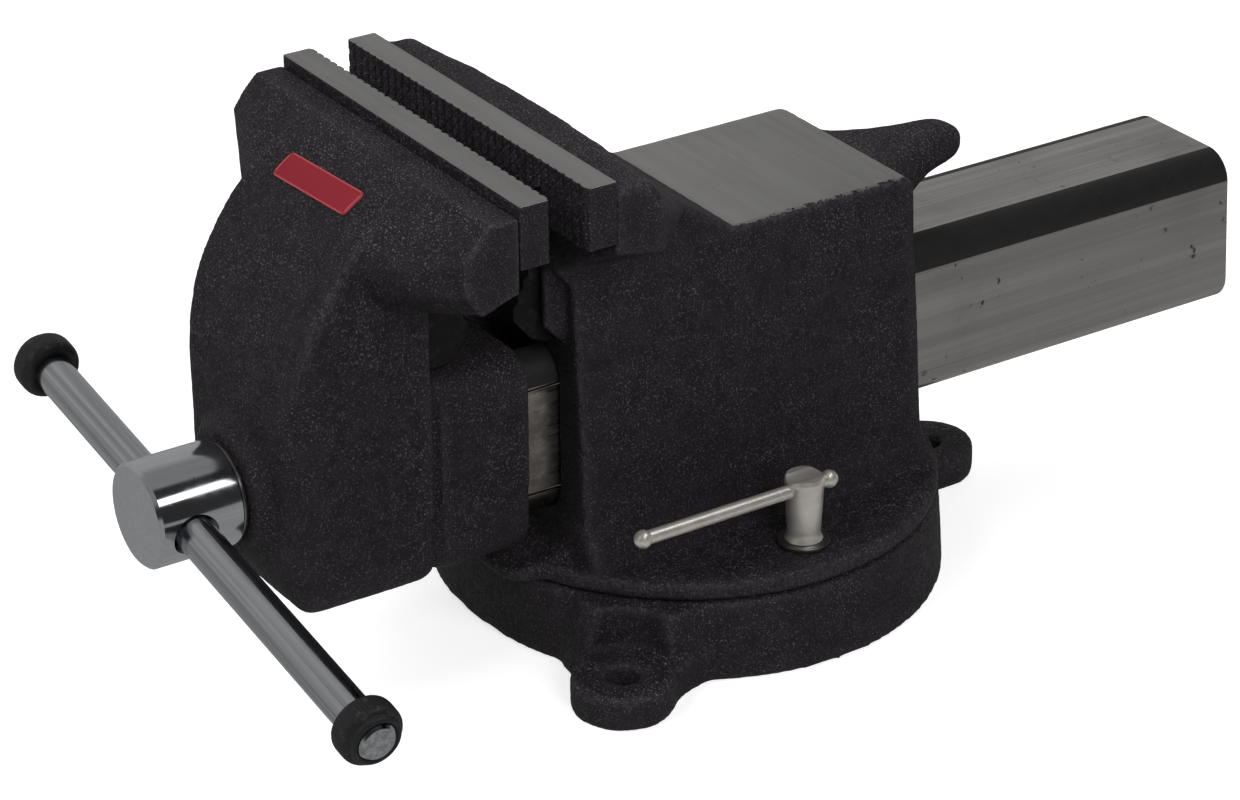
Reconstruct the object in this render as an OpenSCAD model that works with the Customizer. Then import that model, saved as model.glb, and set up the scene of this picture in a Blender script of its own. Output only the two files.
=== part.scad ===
// Bench vise with swivel base, box-section slide bar, anvil and horn.
// Frame: +Z up, the operator stands on the -Y side, the jaws run along X.
// Origin: the swivel axis where it meets the underside of the base.
// All lengths are millimetres.

/* [Jaws] */
// Width of the jaw inserts, along X
jaw_w = 200; // [180:1:220]
// Height of the jaw insert tops above the bench
jaw_top = 252; // [250:0.5:256]
// Opening between the jaw inserts as drawn
jaw_gap = 18; // [14:0.5:30]
// Thickness of one jaw insert
insert_t = 14.8; // [12:0.1:17]
// Height of one jaw insert
insert_h = 29; // [26:0.5:31]
// Pitch of the gripping teeth
tooth_p = 6; // [5:0.5:8]
// Depth of the gripping teeth
tooth_d = 0.9; // [0.4:0.1:1.2]

/* [Slide bar] */
// Width of the slide bar
bar_w = 72; // [68:0.5:74]
// Height of the slide bar
bar_h = 81; // [78:0.5:83]
// Height of the top of the slide bar above the bench
bar_top = 143.5; // [142:0.5:145]
// Wall of the slide bar
bar_wall = 11; // [9:0.5:12]
// Outside corner radius of the slide bar
bar_r = 14; // [12:0.5:15]
// Y of the rear end of the slide bar
bar_back = 300.5; // [280:0.5:320]

/* [Spindle] */
// Height of the spindle axis above the bench
sp_z = 103.4; // [102:0.2:105]
// Diameter of the spindle head
head_d = 48; // [44:1:52]
// Length of the spindle head
head_l = 40; // [36:1:44]
// Diameter of the spindle thread
thread_d = 28; // [26:0.5:29]
// Pitch of the spindle thread
thread_p = 6; // [5:0.5:8]
// Y of the rear end of the spindle
sp_end = 208; // [200:1:216]

/* [Handle] */
// Diameter of the handle rod
rod_d = 17.5; // [16:0.25:18]
// Length of the handle rod
rod_l = 308; // [290:1:320]
// Distance the rod is drawn through its hole, towards +X
rod_shift = 24.5; // [0:0.5:40]
// Tilt of the handle below level
rod_tilt = 9.06; // [0:0.5:20]
// Diameter of the handle end caps
cap_d = 29; // [27:0.5:32]
// Length of the handle end caps
cap_l = 15; // [13:0.5:18]

/* [Swivel base] */
// Half width of the base across the vise
base_r = 124.5; // [123:0.5:126]
// Height of the round base
base_h = 37; // [35:0.5:37]
// Radius from the swivel axis to the two front bench bolt holes
bolt_r = 145.5; // [145:0.5:150]
// Radius from the swivel axis to the rear bench bolt hole
bolt_rr = 142; // [141:0.5:150]
// Diameter of the bench bolt holes
bolt_d = 15; // [12:0.5:17]
// Thickness of the bench lugs
lug_t = 16; // [14:0.5:18]
// Radius of the T-slot
slot_r = 95; // [94:0.5:96]

/* [Hidden] */

$fn = 96;
e = 0.01;
rear_face = -117.2;                       // gripping face of the fixed insert
rear_seat = rear_face + insert_t;         // casting behind it
front_face = rear_face - jaw_gap;         // gripping face of the moving insert
front_seat = front_face - insert_t;       // casting behind it
mj = front_seat + 150;                    // shift of the whole moving jaw
cast_top = jaw_top - 5;                   // tops of the castings
seat_z = jaw_top - insert_h;              // ledge under the inserts
bar_bot = bar_top - bar_h;
bar_front = -204 + mj;                    // front end of the slide bar
col_front = -235 + mj;                    // front of the moving jaw column
col_back = -157 + mj;
head_y0 = -283.8 + mj;                    // free face of the spindle head
rod_y = head_y0 + 16.5;                     // handle hole
anvil_z = jaw_top - 64;
foot_z = base_h + 0.3;                    // underside of the static body
foot_top = foot_z + 10;
// angle and radius of each lug, and the fillets on its two sides
lugs = [[-45, bolt_r, 16, 38], [-135, bolt_r, 38, 16], [90, bolt_rr, 20, 20]];
tooth_n = floor((jaw_w - 2) / tooth_p);
nut_y0 = -40;
nut_y1 = 34;
nut_bolt_y = [nut_y0 + 12, nut_y1 - 10];
screw_x = [-62, 62];
screw_h = 8.5;                            // height of the insert screws above the ledge
pipe_screw_z = [160, 214];

// ---------- shared shapes ----------

// Rectangle with rounded corners in the XY plane, centred.
module rrect(w, h, r) {
  union() {
    square([w - 2 * r, h], center = true);
    square([w, h - 2 * r], center = true);
    for (sx = [-1, 1], sy = [-1, 1])
      translate([sx * (w / 2 - r), sy * (h / 2 - r)]) circle(r);
  }
}

// Prism along +Y from y0 to y1; the 2-D shape is drawn as X, Z.
module along_y(y0, y1) {
  translate([0, y1, 0]) rotate([90, 0, 0]) linear_extrude(y1 - y0) children();
}

// Prism along X, centred; the 2-D shape is drawn as Y, Z.
module along_x(w) {
  translate([-w / 2, 0, 0]) rotate([90, 0, 90]) linear_extrude(w) children();
}

// Cylinder along +Y.
module ycyl(y0, y1, r) {
  translate([0, y0, 0]) rotate([-90, 0, 0]) cylinder(r = r, h = y1 - y0);
}

// Socket head screw along +Y with its head at y = 0 and its tip at y = l.
module cap_screw(d, hd, hl, l) {
  difference() {
    union() {
      ycyl(0, hl, hd / 2);
      ycyl(hl - e, l, d / 2);
    }
    translate([0, -1, 0]) rotate([-90, 0, 0])
      cylinder(r = d * 0.46, h = hl * 0.6 + 1, $fn = 6);
  }
}

// Steel insert with a toothed gripping face on the -Y side at y = 0.
module insert(t, h) {
  difference() {
    translate([-jaw_w / 2, 0, 0]) cube([jaw_w, t, h]);
    for (i = [0 : tooth_n])
      translate([(i - tooth_n / 2) * tooth_p, 0, -1]) rotate([0, 0, 45])
        translate([-tooth_d * 0.9, -tooth_d * 0.9, 0])
          cube([tooth_d * 1.8, tooth_d * 1.8, h + 2]);
    for (x = screw_x) translate([x, 0, screw_h]) {
      ycyl(-1, 9.2, 6.7);
      ycyl(8, t + 1, 4.3);
    }
  }
}

// Toothed pipe jaw, 72 wide, gripping side facing -Y, tips at y = 0.
// It is drawn from z = 0 (bottom) to z = 72.
module pipe_jaw() {
  difference() {
    along_x(bar_w) polygon([[22, 0], [22, 72], [6, 72], [0, 66], [0, 62],
      [2.6, 59.5], [2.2, 56], [5.4, 53.4], [5, 50], [8.2, 47.4], [7.8, 44],
      [11, 41], [7.8, 38], [8.2, 34.6], [5, 32], [5.4, 28.6], [2.2, 26],
      [2.6, 22.5], [0, 20], [0, 14], [4, 9], [9, 3], [16, 0]]);
    for (z = [10, 64]) translate([0, 0, z]) {
      ycyl(-1, 12, 5.6);
      ycyl(11, 30, 3.4);
    }
  }
}

// Bench lug outline reaching out along +X from the swivel axis, filleted
// with radii f (-Y side, +Y side) where it leaves a rim of radius rb.
module lug_plan(r, x0, reach, f2, rb = 121) {
  translate([reach, 0]) circle(r);
  translate([x0, -r]) square([reach - x0, 2 * r]);
  for (s = [-1, 1]) let (f = f2[(s + 1) / 2], fx = sqrt(pow(rb + f, 2) - pow(r + f, 2))) difference() {
    polygon([[x0, 0], [fx, 0], [fx, s * (r + f)], [fx * rb / (rb + f), s * (r + f) * rb / (rb + f)], [x0, s * r]]);
    translate([fx, s * (r + f)]) circle(f);
  }
}

// ---------- base ----------

// Base body: round at the top, drafted out to the sides towards the bench.
module swivel_base() {
  color("#1f1e20") difference() {
    union() {
      hull() {
        for (s = [-1, 1]) translate([s * 7.5, 0, 0]) cylinder(r = base_r - 7.5, h = 1);
        translate([0, 0, base_h - 3]) cylinder(r = base_r - 5.6, h = 1);
        translate([0, 0, base_h - 1]) cylinder(r = base_r - 7, h = 1);
      }
      for (l = lugs) rotate([0, 0, l[0]]) {
        linear_extrude(lug_t) lug_plan(23.5, 100, l[1], [l[2], l[3]]);
        // flanks either side of the bolt seat
        hull() {
          translate([l[1] - 44, 0, 0]) cylinder(r = 38, h = 4, $fn = 32);
          translate([l[1] - 47, 0, base_h - 4]) cylinder(r = 32.5, h = 3, $fn = 32);
        }
      }
    }
    for (l = lugs) rotate([0, 0, l[0]]) {
      translate([l[1], 0, -1]) cylinder(d = bolt_d, h = lug_t + 2);
      translate([l[1], 0, lug_t]) cylinder(r = 23.8, h = base_h);
    }
    // blind centre bore for the pivot pin
    translate([0, 0, 3]) cylinder(r = 14, h = base_h);
    // annular T-slot for the two lock bolts, and its assembly opening
    rotate_extrude() translate([slot_r - 7, 20]) square([14, base_h]);
    rotate_extrude() translate([slot_r - 12.5, 9]) square([25, 14]);
    translate([0, -slot_r, 9]) cylinder(r = 14, h = base_h);
    // relief under the base between the hub and the rim
    rotate_extrude() translate([34, -1]) square([38, 21]);
  }
}

module pivot_pin() {
  color("#8f8d8a") rotate_extrude() polygon([[0, 3.3], [12.95, 3.3], [13.95, 4.3],
    [13.95, base_h + 12], [12.95, base_h + 13], [0, base_h + 13]]);
}

// ---------- static body ----------

// Tapered block, half width w0 at z0 and w1 at z1, its rear corners rounded to r.
module taper_block(z0, w0, y0a, y0b, z1, w1, y1a, y1b, r = 9) {
  hull() {
    translate([-w0, y0a, z0]) cube([2 * w0, 20, e]);
    translate([-w1, y1a, z1 - e]) cube([2 * w1, 20, e]);
    for (s = [-1, 1]) {
      translate([s * (w0 - r), y0b - r, z0]) cylinder(r = r, h = e, $fn = 32);
      translate([s * (w1 - r), y1b - r, z1 - e]) cylinder(r = r, h = e, $fn = 32);
    }
  }
}

// Closed shell through a list of rings with the same number of points each.
module loft(rings) {
  n = len(rings[0]);
  m = len(rings);
  polyhedron(points = [for (r = rings) each r],
    faces = concat([[for (k = [n - 1 : -1 : 0]) k]],
      [for (i = [0 : m - 2], k = [0 : n - 1]) [i * n + k, i * n + (k + 1) % n, (i + 1) * n + (k + 1) % n, (i + 1) * n + k]],
      [[for (k = [0 : n - 1]) (m - 1) * n + k]]), convexity = 4);
}

// Horn: half width and underside fall away in a cove, the nose is rounded.
function horn_w(t) = 12.5 + 37 * pow(1 - t, 2.6);
function horn_top(t) = anvil_z - 2.5 - 1.5 * t + 1.2 * t * t;
function horn_bot(t) = anvil_z - 20.5 - 32.5 * pow(1 - t, 2.1);
function nose(t) = t < 0.82 ? 1 : sqrt(max(0.02, 1 - pow((t - 0.82) / 0.18, 2)));
function horn_ring(t) = let (y = 84 + 70.5 * t, w = horn_w(t) * nose(t),
    zc = (horn_top(t) + horn_bot(t)) / 2, h = (horn_top(t) - horn_bot(t)) / 2 * nose(t))
  [for (k = [0 : 27]) let (a = k * 360 / 28, c = cos(a), s = sin(a))
    [w * sign(c) * pow(abs(c), 0.62), y, zc + h * sign(s) * pow(abs(s), 0.62)]];

module static_body() {
  color("#201f21") difference() {
    union() {
      // round foot, with a relieved lower edge
      rotate_extrude() polygon([[0, foot_z], [115.5, foot_z], [118.5, foot_z + 3],
        [118.5, foot_top - 1.5], [116, foot_top], [0, foot_top]]);
      taper_block(foot_top - 1, 70, -94.5, 98, 64, 59, -94, 96.5);
      taper_block(62, 59.5, -93, 97, anvil_z - 8, 50.6, -93, 95);
      // apron in front of the foot
      intersection() {
        along_x(92) polygon([[-80, foot_z + 0.5], [-122, foot_z + 0.5], [-124, foot_z + 2.5], [-122.5, 42.5], [-110, 46.5],
          [-98, 49.5], [-92, 52], [-80, 52]]);
        linear_extrude(60) union() {
          translate([-46, -108]) square([92, 40]);
          translate([-30, -124]) square([60, 30]);
          for (s = [-1, 1]) translate([s * 30, -108]) circle(16);
        }
      }
      // anvil block with rounded rear edge
      intersection() {
        along_x(101.2) polygon([[-93, anvil_z - 10], [-93, anvil_z], [87.5, anvil_z],
          [91.5, anvil_z - 2.5], [94.5, anvil_z - 7], [95.8, anvil_z - 14], [95.8, anvil_z - 20], [-60, anvil_z - 20]]);
        translate([0, 0, anvil_z - 30]) linear_extrude(40) union() {
          translate([-50.6, -100]) square([101.2, 186.8]);
          translate([-41.6, -100]) square([83.2, 195.8]);
          for (s = [-1, 1]) translate([s * 41.6, 86.8]) circle(9);
        }
      }
      // slope from the jaw head down to the anvil
      along_x(100) polygon([[rear_seat, seat_z - 31], [rear_seat, cast_top], [-81, cast_top],
        [-73, cast_top - 13], [-68, cast_top - 18], [-8, anvil_z], [-8, anvil_z - 10], [-93, 180]]);
      // jaw head, full width
      along_x(jaw_w) polygon([[rear_seat, cast_top], [-85, cast_top], [-80, cast_top - 4],
        [-76, cast_top - 15], [-78, 213], [rear_seat, 218]]);
      translate([0, 0, 228]) linear_extrude(cast_top - 228) polygon(concat([[-90, rear_seat]],
        [for (x = [-90 : 10 : 90]) [x, -77.5 - 7 * pow(abs(x) / 95, 2.2)]], [[90, rear_seat]]));
      // gussets under the head
      for (s = [-1, 1]) hull() {
        translate([s * 98, 0, 0]) along_x(3) polygon([[rear_seat, 218], [rear_seat, cast_top - 3], [-85, cast_top - 3], [-76, cast_top - 16], [-78, 213]]);
        translate([s * 49, 0, 0]) along_x(2) polygon([[rear_seat, 191], [rear_seat, cast_top - 2], [-79, cast_top - 2], [-70, 230], [-40, 209], [-34, 203], [-50, 191]]);
      }
      // ledge below the insert that also backs the pipe jaw
      along_x(84) polygon([[-93, 150], [rear_seat, 160], [rear_seat, 222], [-93, 222]]);
      // horn
      loft([for (t = [0, 0.12, 0.24, 0.36, 0.48, 0.6, 0.7, 0.8, 0.87, 0.92, 0.96, 0.985, 1]) horn_ring(t)]);
    }
    // passage for the slide bar, running clearance all round
    along_y(-130, 130) translate([0, bar_top - bar_h / 2]) rrect(bar_w + 0.6, bar_h + 0.6, bar_r + 0.3);
    // seat of the insert: nothing of the casting stands in front of it
    translate([-jaw_w, rear_seat - 40, seat_z]) cube([2 * jaw_w, 40, 60]);
    // seat of the pipe jaw
    translate([-bar_w / 2 - 0.2, -130, 151]) cube([bar_w + 0.4, 37, 72.1]);
    // tapped holes for the insert screws and the pipe jaw screws
    for (x = screw_x) translate([x, 0, seat_z + screw_h]) ycyl(rear_seat - 1, rear_seat + 18, 4.1);
    for (z = [10, 64]) translate([0, 0, 151 + z]) ycyl(-94, -72, 3.1);
    // bolt holes for the lock bolts, and flat seats for their washers
    for (s = [-1, 1]) translate([s * slot_r, 0, 0]) {
      translate([0, 0, foot_z - 1]) cylinder(r = 5.5, h = 30);
      translate([0, 0, foot_top]) cylinder(r = 15, h = 50);
    }
    // blind bore for the pivot pin, and bolt holes of the nut saddle
    translate([0, 0, foot_z - 1]) cylinder(r = 14, h = 14);
    for (y = nut_bolt_y) translate([0, y, 0]) {
      translate([0, 0, foot_z - 1]) cylinder(r = 4.3, h = 40);
      translate([0, 0, foot_z - 1]) cylinder(r = 7.5, h = 10);
    }
  }
}

module rear_insert() {
  color("#b9b8b4") translate([0, rear_face, seat_z]) insert(insert_t, insert_h);
}

module rear_insert_screws() {
  color("#3a3a3c") for (x = screw_x)
    translate([x, rear_face + 1.2, seat_z + screw_h]) cap_screw(8, 13, 8, 30);
}

module rear_pipe_jaw() {
  color("#2a2a2c") translate([0, -115, 151]) pipe_jaw();
}

module rear_pipe_jaw_screws() {
  color("#3a3a3c") for (z = [10, 64]) translate([0, -115 + 5, 151 + z]) cap_screw(6, 10, 6, 34);
}

// Nut block inside the slide bar; its saddle stands on the floor of the
// static body and passes up through the slot in the bar.
module spindle_nut() {
  color("#4a4a4c") difference() {
    union() {
      along_y(nut_y0, nut_y1) translate([0, sp_z]) rrect(46, 50, 8);
      translate([-12, nut_y0, bar_bot - 0.3]) cube([24, nut_y1 - nut_y0, 30]);
    }
    translate([0, 0, sp_z]) ycyl(nut_y0 - 1, nut_y1 + 1, thread_d / 2 + 0.05);
    for (y = nut_bolt_y) translate([0, y, 0]) cylinder(r = 3.9, h = bar_bot + 16);
  }
}

module nut_bolts() {
  color("#3a3a3c") for (y = nut_bolt_y)
    translate([0, y, foot_z + 1]) rotate([90, 0, 0]) cap_screw(7.8, 13, 8, bar_bot - foot_z + 12);
}

// T-bolts: heads in the T-slot, shanks up through the foot.
module lock_bolts() {
  color("#8f8d8a") for (s = [-1, 1]) translate([s * slot_r, 0, 0]) {
    translate([-11, -11, 12]) cube([22, 22, 7.7]);
    translate([0, 0, 19]) cylinder(r = 5, h = foot_top);
  }
}

module lock_washers() {
  color("#c9cacc") for (s = [-1, 1]) translate([s * slot_r, 0, foot_top]) difference() {
    cylinder(r = 12.2, h = 2.2);
    translate([0, 0, -1]) cylinder(r = 5.4, h = 5);
  }
}

// Tall tapered nut with a cross hole for its sliding bar.
module lock_nut() {
  difference() {
    rotate_extrude() polygon([[0, foot_top + 2.5], [8.8, foot_top + 2.5], [7.7, foot_top + 5],
      [8.7, foot_top + 26], [9.3, foot_top + 32], [8.5, foot_top + 34], [0, foot_top + 34]]);
    translate([0, 0, foot_top]) cylinder(r = 5.05, h = 20);
    translate([0, 0, foot_top + 28]) rotate([90, 0, 0]) cylinder(r = 3.25, h = 40, center = true);
    // saddle across the top
    translate([0, 0, foot_top + 46]) rotate([90, 0, 0]) cylinder(r = 13, h = 40, center = true);
  }
}

module lock_bar() {
  translate([0, 11.1, foot_top + 28]) rotate([90, 0, 0]) cylinder(r = 3.2, h = 95.5);
}

module lock_balls() {
  for (y = [13.5, -86.8]) translate([0, y, foot_top + 28]) difference() {
    sphere(r = 4.2);
    translate([0, y > 0 ? -6 : 6, 0]) rotate([90, 0, 0]) cylinder(r = 3.2, h = 7.2, center = true);
  }
}

module lock_nut_right() { color("#d4d5d6") translate([slot_r, 0, 0]) lock_nut(); }
module lock_bar_right() { color("#d4d5d6") translate([slot_r, 0, 0]) lock_bar(); }
module lock_balls_right() { color("#d4d5d6") translate([slot_r, 0, 0]) lock_balls(); }
module lock_nut_left() { color("#d4d5d6") translate([-slot_r, 0, 0]) lock_nut(); }
module lock_bar_left() { color("#d4d5d6") translate([-slot_r, 0, 0]) lock_bar(); }
module lock_balls_left() { color("#d4d5d6") translate([-slot_r, 0, 0]) lock_balls(); }

// ---------- moving jaw ----------

// Side profile of the column, in Y, Z.
module column_profile() {
  polygon([[-150, cast_top - 22], [-150, cast_top], [-164, cast_top], [-176.5, 241], [-187.5, 234], [-197, 226.5],
    [-205.5, 217.5], [-213.5, 206.5], [-220.5, 194], [-226.5, 180], [-231, 165.5], [-234, 150], [-235, 138],
    [-235, 76], [-234, 68], [-230.5, 60.5], [-224, 55.5], [-215, 53.4], [-206, 53],
    [-170, 53], [-166, 56], [-164.5, 64], [-164.5, 188], [-157, 195], [-150, 205]]);
}

// Front view of the column, in X, Z: rounded along its lower edges.
module column_front() {
  translate([-50, 70]) square([100, 195]);
  translate([-33, 53]) square([66, 60]);
  for (s = [-1, 1]) translate([s * 33, 70]) circle(17);
  translate([-100, 190]) square([200, 80]);
}

module moving_jaw() {
  color("#201f21") translate([0, mj, 0]) difference() {
    union() {
      // column, rounded in plan at its front corners
      intersection() {
        along_x(200) column_profile();
        along_y(-300, 0) column_front();
        translate([0, 0, 40]) linear_extrude(220) union() {
          translate([-50, -220]) square([100, 75]);
          translate([-35, -235]) square([70, 30]);
          for (s = [-1, 1]) translate([s * 35, -220]) circle(15);
        }
      }
      // jaw head, full width
      along_x(jaw_w) polygon([[-150, cast_top], [-164, cast_top], [-170, 241],
        [-176.5, 233], [-176, 217], [-169, 206], [-150, 213]]);
      // brow: the front face widens into the head, with an underside sloping to the column
      for (s = [-1, 1]) hull() {
        translate([s * 98, 0, 0]) along_x(3) polygon([[-150, 213], [-168, 207.5], [-175, 217], [-175.5, 233], [-170, 240], [-164, cast_top - 1], [-150, cast_top - 1]]);
        translate([s * 49, 0, 0]) along_x(2) polygon([[-150, 194], [-186, 194], [-196, 206], [-199, 217], [-196, 225.5], [-187, 233.5], [-176, 240.5], [-164, cast_top - 0.5], [-150, cast_top - 0.5]]);
      }
      // boss round the spindle
      translate([0, 0, sp_z]) rotate([-90, 0, 0]) translate([0, 0, -241.2])
        cylinder(r1 = 29, r2 = 38, h = 8);
      // socket that holds the slide bar
      along_y(-158.5, -112.8) translate([0, bar_top - bar_h / 2 - 1.5]) rrect(91, 98, 17);
      // neck between column and socket
      along_y(-170, -150) translate([0, bar_top - bar_h / 2]) rrect(84, 94, 15);
    }
    // bore of the socket, open to the rear
    along_y(-204, -100) translate([0, bar_top - bar_h / 2]) rrect(bar_w + 0.1, bar_h + 0.1, bar_r + 0.05);
    // spindle bore through the front wall
    translate([0, 0, sp_z]) ycyl(-260, -195, 15.05);
    // cross holes for the pins that hold the bar
    for (z = [82, 124]) translate([0, -184, z]) rotate([0, 90, 0]) cylinder(r = 4, h = 88, center = true);
    // seat of the insert
    translate([-jaw_w, -150, seat_z]) cube([2 * jaw_w, 40, 60]);
    // seat of the pipe jaw
    translate([-bar_w / 2 - 0.2, -159.5, 153.5]) cube([bar_w + 0.4, 40, 69.6]);
    for (x = screw_x) translate([x, 0, seat_z + screw_h]) ycyl(-168, -149, 4.1);
    for (z = [10, 64]) translate([0, 0, 151 + z]) ycyl(-182, -159, 3.1);
  }
}

// Box-section bar with a slot along its underside for the nut saddle.
module slide_bar() {
  color("#aaa8a5") difference() {
    along_y(bar_front, bar_back) translate([0, bar_top - bar_h / 2]) rrect(bar_w, bar_h, bar_r);
    along_y(bar_front - 1, bar_back + 1) translate([0, bar_top - bar_h / 2])
      rrect(bar_w - 2 * bar_wall, bar_h - 2 * bar_wall, 5);
    translate([-13.5, -66, bar_bot - 5]) cube([27, bar_back - 12 + 66, bar_wall + 10]);
    // rear end dressed back a little towards the top
    translate([-60, bar_back, bar_bot]) rotate([3.6, 0, 0]) translate([0, 0, -20]) cube([120, 24, 140]);
    for (z = [82, 124]) translate([0, -184 + mj, z]) rotate([0, 90, 0]) cylinder(r = 4, h = 120, center = true);
  }
}

module bar_pins() {
  color("#6c6b69") for (z = [82, 124], s = [-1, 1])
    translate([s * 34.5, -184 + mj, z]) rotate([0, 90, 0]) cylinder(r = 4, h = 19, center = true);
}

module front_insert() {
  color("#b9b8b4") translate([0, front_face, seat_z]) rotate([0, 0, 180]) insert(insert_t, insert_h);
}

module front_insert_screws() {
  color("#3a3a3c") for (x = screw_x)
    translate([x, front_face - 1.2, seat_z + screw_h]) rotate([0, 0, 180]) cap_screw(8, 13, 8, 30);
}

module front_pipe_jaw() {
  color("#2a2a2c") translate([0, -137.5 + mj, 151]) rotate([0, 0, 180]) difference() {
    pipe_jaw();
    translate([-50, -1, -1]) cube([100, 40, 3.5]);
    translate([-50, -1, 71.9]) cube([100, 40, 3.5]);
  }
}

module front_pipe_jaw_screws() {
  color("#3a3a3c") for (z = [10, 64])
    translate([0, -142.5 + mj, 151 + z]) rotate([0, 0, 180]) cap_screw(6, 10, 6, 34);
}

// Spindle: drilled head, plain journal, trapezoidal thread.
module spindle() {
  color("#c6c8ca") translate([0, 0, sp_z]) difference() {
    rotate([-90, 0, 0]) rotate_extrude() polygon(concat(
      [[0, head_y0], [head_d / 2 - 1.6, head_y0], [head_d / 2, head_y0 + 1.6],
       [head_d / 2, head_y0 + head_l - 0.8], [head_d / 2 - 0.8, head_y0 + head_l], [15, head_y0 + head_l],
       [15, -170 + mj], [13, -168 + mj], [13, -64]],
      [for (y = [-64 : thread_p : sp_end - 2 * thread_p])
        each [[10.9, y + 1.2], [10.9, y + 2.6], [thread_d / 2, y + 3.6], [thread_d / 2, y + 6]]],
      [[10.9, sp_end - 4], [10.9, sp_end], [0, sp_end]]));
    // handle hole
    rotate([0, rod_tilt, 0]) translate([0, rod_y, 0]) {
      rotate([0, 90, 0]) cylinder(d = rod_d + 0.1, h = 80, center = true);
      for (s = [-1, 1]) rotate([0, s * 90, 0]) translate([0, 0, 20]) cylinder(r1 = rod_d / 2 + 0.05, r2 = rod_d / 2 + 3, h = 6);
    }
    // cross hole for the collar pin
    translate([0, -192 + mj, 0]) cylinder(r = 3, h = 60, center = true);
  }
}

module thrust_washer() {
  color("#8f8d8a") translate([0, 0, sp_z]) difference() {
    ycyl(head_y0 + head_l + 0.1, -241.2 + mj, 22.5);
    ycyl(head_y0 + head_l - 1, -230 + mj, 15.3);
  }
}

// Collar behind the front wall that draws the jaw open with the spindle.
module retaining_collar() {
  color("#6c6b69") translate([0, 0, sp_z]) difference() {
    ycyl(-203.7 + mj, -182 + mj, 22);
    ycyl(-210 + mj, -170 + mj, 15);
    translate([0, -192 + mj, 0]) cylinder(r = 3, h = 60, center = true);
  }
}

module collar_pin() {
  color("#9a9895") translate([0, -192 + mj, sp_z]) cylinder(r = 3, h = 43, center = true);
}

// ---------- handle ----------

module on_rod(s) {
  translate([0, rod_y, sp_z]) rotate([0, rod_tilt, 0]) translate([rod_shift + s, 0, 0]) rotate([0, 90, 0]) children();
}

module handle_rod() {
  color("#c6c8ca") on_rod(-rod_l / 2) rotate_extrude() polygon([[0, 0], [rod_d / 2 - 1.2, 0], [rod_d / 2, 1.2],
    [rod_d / 2, rod_l - 1.2], [rod_d / 2 - 1.2, rod_l], [0, rod_l]]);
}

// Ring-shaped cap pressed over the end of the rod.
module cap() {
  rotate_extrude() polygon([[rod_d / 2, 0], [cap_d / 2 - 4, 0], [cap_d / 2 - 1.2, 1.2], [cap_d / 2, 4],
    [cap_d / 2, cap_l - 4], [cap_d / 2 - 1.2, cap_l - 1.2], [cap_d / 2 - 4, cap_l], [rod_d / 2, cap_l]]);
}

module handle_cap_left() { color("#1c1b1c") on_rod(-rod_l / 2 + 1) cap(); }
module handle_cap_right() { color("#1c1b1c") on_rod(rod_l / 2 - 1 - cap_l) cap(); }

// Plain label on the sloping part of the moving jaw's front face.
module label_plate() {
  color("#96202c") translate([0, mj, 0]) intersection() {
    difference() {
      translate([0, -0.5, 0.6]) along_x(59) column_profile();
      along_x(80) column_profile();
    }
    translate([-29.5, -195.6, 220]) cube([59, 11.4, 25]);
  }
}

swivel_base();
pivot_pin();
static_body();
rear_insert();
rear_insert_screws();
rear_pipe_jaw();
rear_pipe_jaw_screws();
spindle_nut();
nut_bolts();
lock_bolts();
lock_washers();
lock_nut_right();
lock_bar_right();
lock_balls_right();
lock_nut_left();
lock_bar_left();
lock_balls_left();
moving_jaw();
slide_bar();
bar_pins();
front_insert();
front_insert_screws();
front_pipe_jaw();
front_pipe_jaw_screws();
spindle();
thrust_washer();
retaining_collar();
collar_pin();
handle_rod();
handle_cap_left();
handle_cap_right();
label_plate();
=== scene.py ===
"""Bench vise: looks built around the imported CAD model. Metres, row frame."""

import math

import bmesh
import bpy
import numpy as np
from mathutils import Matrix, Vector, noise


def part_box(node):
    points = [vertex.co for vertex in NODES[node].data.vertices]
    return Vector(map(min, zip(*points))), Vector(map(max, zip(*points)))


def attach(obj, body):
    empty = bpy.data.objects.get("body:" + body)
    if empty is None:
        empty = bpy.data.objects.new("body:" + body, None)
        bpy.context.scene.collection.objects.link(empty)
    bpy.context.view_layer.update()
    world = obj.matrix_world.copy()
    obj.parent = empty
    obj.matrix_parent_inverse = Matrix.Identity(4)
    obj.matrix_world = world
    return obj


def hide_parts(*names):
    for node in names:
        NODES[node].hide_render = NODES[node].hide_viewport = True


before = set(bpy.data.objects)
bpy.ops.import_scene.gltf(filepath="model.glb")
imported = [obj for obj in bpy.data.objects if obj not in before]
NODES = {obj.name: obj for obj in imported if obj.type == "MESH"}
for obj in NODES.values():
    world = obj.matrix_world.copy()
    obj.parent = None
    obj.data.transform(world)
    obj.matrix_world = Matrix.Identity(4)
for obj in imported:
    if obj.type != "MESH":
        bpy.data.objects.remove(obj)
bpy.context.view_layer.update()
scene = bpy.context.scene
MM = 0.001


# ------------------------------------------------------------------ camera
def make_camera():
    data = bpy.data.cameras.new("camera")
    data.sensor_width = 36.0
    data.lens = 114.18
    data.shift_x = -0.00237
    data.shift_y = -0.00078
    data.clip_start, data.clip_end = 0.05, 50
    cam = bpy.data.objects.new("camera", data)
    right = Vector((0.5493217, 0.8355989, -0.0044797))
    down = Vector((0.3789784, -0.2539107, -0.8898903))
    ahead = Vector((-0.7447288, 0.4871384, -0.4561526))
    m = Matrix.Identity(4)
    for row in range(3):
        m[row][0], m[row][1], m[row][2] = right[row], -down[row], -ahead[row]
    m.translation = Vector((1.34764, -0.91635, 0.91434))
    cam.matrix_world = m
    scene.collection.objects.link(cam)
    scene.camera = cam


make_camera()
scene.view_settings.view_transform = "Standard"
scene.view_settings.look = "None"


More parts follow.
